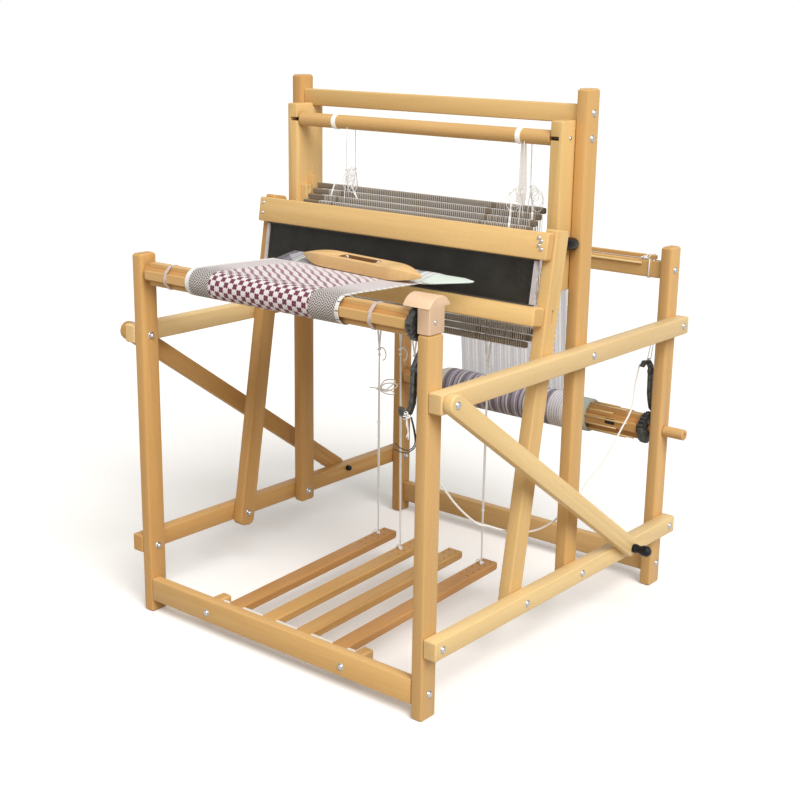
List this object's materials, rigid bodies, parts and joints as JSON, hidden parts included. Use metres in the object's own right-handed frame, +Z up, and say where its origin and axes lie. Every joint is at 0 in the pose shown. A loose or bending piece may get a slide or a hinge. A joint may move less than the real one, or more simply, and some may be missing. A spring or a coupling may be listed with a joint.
{
  "type": "floor loom",
  "caption": "Treadle floor loom of beech with a castle and roller over hanging shafts, swinging beater with reed, ratchet beams, warp and half-woven cloth.",
  "frame": {"origin": "on the floor, under the middle of the whole loom", "axes": "+X to the right of the weaver at the front, +Y to the back, +Z up"},
  "size_m": [0.9398, 0.92, 1.111],
  "materials": {
    "beech": "oiled",
    "pale_beech": "oiled",
    "cast_iron": "dark",
    "steel": "satin",
    "black_plastic": "matt",
    "reed_steel": "matt",
    "heddle_grey": "matt",
    "cotton": "matt",
    "cloth": "woven",
    "warp_yarn": "yarn",
    "painted_stick": "painted",
    "quill_yarn": "yarn"
  },
  "bodies": {
    "frame": {"post_front_left": "beech", "post_front_right": "beech", "post_rear_left": "beech", "post_rear_right": "beech", "upper_rail_left": "beech", "upper_rail_right": "beech", "lower_rail_left": "beech", "lower_rail_right": "beech", "brace_left": "beech", "brace_right": "beech", "front_cross_rail": "beech", "rear_cross_rail": "beech", "castle_post_left": "beech", "castle_post_right": "beech", "castle_rail": "beech", "castle_cheek_left": "beech", "castle_cheek_right": "beech", "bearing_block": "pale_beech", "back_beam": "beech", "warp": "warp_yarn", "cloth": "cloth", "shed_sword": "painted_stick", "treadle_bracket_left": "beech", "treadle_bracket_right": "beech", "treadle_rod": "steel", "release_cord": "cotton"},
    "knob_left": {"brace_knob_left": "black_plastic"},
    "knob_right": {"brace_knob_right": "black_plastic"},
    "roller": {"roller": "beech"},
    "front_hang": {"hang_cord_front_left": "cotton", "hang_cord_front_right": "cotton", "tie_cord_1": "cotton"},
    "back_hang": {"hang_cord_back_left": "cotton", "hang_cord_back_right": "cotton", "tie_cord_2": "cotton"},
    "shaft_1": {"shaft_1": "heddle_grey"},
    "shaft_2": {"shaft_2": "heddle_grey"},
    "shaft_3": {"shaft_3": "heddle_grey"},
    "shaft_4": {"shaft_4": "heddle_grey"},
    "cross_tie_3": {"tie_cord_3": "cotton"},
    "cross_tie_4": {"tie_cord_4": "cotton"},
    "treadle_1": {"treadle_1": "beech"},
    "treadle_2": {"treadle_2": "beech"},
    "treadle_3": {"treadle_3": "beech"},
    "treadle_4": {"treadle_4": "beech"},
    "beater": {"beater_arm_left": "beech", "beater_arm_right": "beech", "beater_cap": "beech", "race_rail": "beech", "reed": "reed_steel"},
    "cloth_beam": {"cloth_beam": "beech", "cloth_ratchet": "cast_iron", "cloth_roll": "cloth"},
    "warp_beam": {"warp_beam": "beech", "warp_ratchet": "cast_iron", "warp_roll": "warp_yarn"},
    "cloth_pawl": {"cloth_pawl": "cast_iron"},
    "warp_pawl": {"warp_pawl": "cast_iron"},
    "shuttle": {"shuttle": "beech"},
    "quill": {"quill": "quill_yarn"}
  },
  "joints": [
    {"name": "knob_left_turn", "type": "hinge", "parent": "frame", "child": "knob_left", "pos_m": [-0.42, 0.22395, 0.158], "axis": [1, 0, 0], "continuous": true},
    {"name": "knob_right_turn", "type": "hinge", "parent": "frame", "child": "knob_right", "pos_m": [0.42, 0.22395, 0.158], "axis": [1, 0, 0], "continuous": true},
    {"name": "roller_turn", "type": "hinge", "parent": "frame", "child": "roller", "pos_m": [0, 0.00695, 1.0195], "axis": [1, 0, 0], "range_deg": [-90.18, 90.18]},
    {"name": "front_hang_slide", "type": "slide", "parent": "frame", "child": "front_hang", "axis": [0, 0, 1], "range_m": [-0.0306, 0.0306], "deforming": ["hang_cord_front_left", "hang_cord_front_right", "tie_cord_1"]},
    {"name": "back_hang_slide", "type": "slide", "parent": "frame", "child": "back_hang", "axis": [0, 0, 1], "range_m": [-0.0306, 0.0306], "deforming": ["hang_cord_back_left", "hang_cord_back_right", "tie_cord_2"]},
    {"name": "shaft_1_slide", "type": "slide", "parent": "front_hang", "child": "shaft_1", "axis": [0, 0, 1], "range_m": [-0.03, 0.03]},
    {"name": "shaft_2_slide", "type": "slide", "parent": "front_hang", "child": "shaft_2", "axis": [0, 0, 1], "range_m": [-0.0306, 0.0306]},
    {"name": "shaft_3_slide", "type": "slide", "parent": "back_hang", "child": "shaft_3", "axis": [0, 0, 1], "range_m": [-0.0306, 0.0306]},
    {"name": "shaft_4_slide", "type": "slide", "parent": "back_hang", "child": "shaft_4", "axis": [0, 0, 1], "range_m": [-0.0306, 0.0306]},
    {"name": "cross_tie_3_slide", "type": "slide", "parent": "frame", "child": "cross_tie_3", "axis": [0, 0, 1], "range_m": [-0.0306, 0.0306], "deforming": ["tie_cord_3"]},
    {"name": "cross_tie_4_slide", "type": "slide", "parent": "frame", "child": "cross_tie_4", "axis": [0, 0, 1], "range_m": [-0.0306, 0.0306], "deforming": ["tie_cord_4"]},
    {"name": "treadle_1_press", "type": "hinge", "parent": "frame", "child": "treadle_1", "pos_m": [0, -0.39205, 0.06], "axis": [1, 0, 0], "range_deg": [-3.9, 3.9]},
    {"name": "treadle_2_press", "type": "hinge", "parent": "frame", "child": "treadle_2", "pos_m": [0, -0.39205, 0.06], "axis": [1, 0, 0], "range_deg": [-4.24, 4.24]},
    {"name": "treadle_3_press", "type": "hinge", "parent": "frame", "child": "treadle_3", "pos_m": [0, -0.39205, 0.06], "axis": [1, 0, 0], "range_deg": [-4.33, 4.33]},
    {"name": "treadle_4_press", "type": "hinge", "parent": "frame", "child": "treadle_4", "pos_m": [0, -0.39205, 0.06], "axis": [1, 0, 0], "range_deg": [-3.81, 3.81]},
    {"name": "beater_swing", "type": "hinge", "parent": "frame", "child": "beater", "pos_m": [0, -0.14505, 0.148], "axis": [1, 0, 0], "range_deg": [0, 4.5]},
    {"name": "cloth_beam_turn", "type": "hinge", "parent": "frame", "child": "cloth_beam", "pos_m": [0, -0.41305, 0.733], "axis": [1, 0, 0], "continuous": true},
    {"name": "warp_beam_turn", "type": "hinge", "parent": "frame", "child": "warp_beam", "pos_m": [0, 0.41695, 0.364], "axis": [1, 0, 0], "continuous": true},
    {"name": "cloth_pawl_lift", "type": "hinge", "parent": "frame", "child": "cloth_pawl", "pos_m": [0.345, -0.42005, 0.6537], "axis": [1, 0, 0], "range_deg": [-20, 3]},
    {"name": "warp_pawl_lift", "type": "hinge", "parent": "frame", "child": "warp_pawl", "pos_m": [0.337, 0.41895, 0.4923], "axis": [1, 0, 0], "range_deg": [-3, 20]},
    {"name": "shuttle_throw", "type": "slide", "parent": "frame", "child": "shuttle", "axis": [0.9925, -0.1218, 0.0046], "range_m": [-0.02, 0.12]},
    {"name": "quill_turn", "type": "hinge", "parent": "shuttle", "child": "quill", "pos_m": [0.0279, -0.20488, 0.76897], "axis": [0.9925, -0.1219, 0], "continuous": true}
  ],
  "couplings": [
    {"joint": "front_hang_slide", "follows": "roller_turn", "m_per_rad": -0.01906},
    {"joint": "back_hang_slide", "follows": "roller_turn", "m_per_rad": 0.01906},
    {"joint": "treadle_1_press", "follows": "roller_turn", "ratio": -0.042356},
    {"joint": "treadle_2_press", "follows": "roller_turn", "ratio": 0.046039},
    {"joint": "shaft_2_slide", "follows": "shaft_1_slide", "ratio": -1},
    {"joint": "shaft_3_slide", "follows": "shaft_1_slide", "ratio": 1},
    {"joint": "shaft_4_slide", "follows": "shaft_1_slide", "ratio": -1},
    {"joint": "cross_tie_3_slide", "follows": "shaft_1_slide", "ratio": 1},
    {"joint": "cross_tie_4_slide", "follows": "shaft_1_slide", "ratio": -1},
    {"joint": "treadle_3_press", "follows": "shaft_1_slide", "rad_per_m": 2.4691},
    {"joint": "treadle_4_press", "follows": "shaft_1_slide", "rad_per_m": -2.1739}
  ]
}
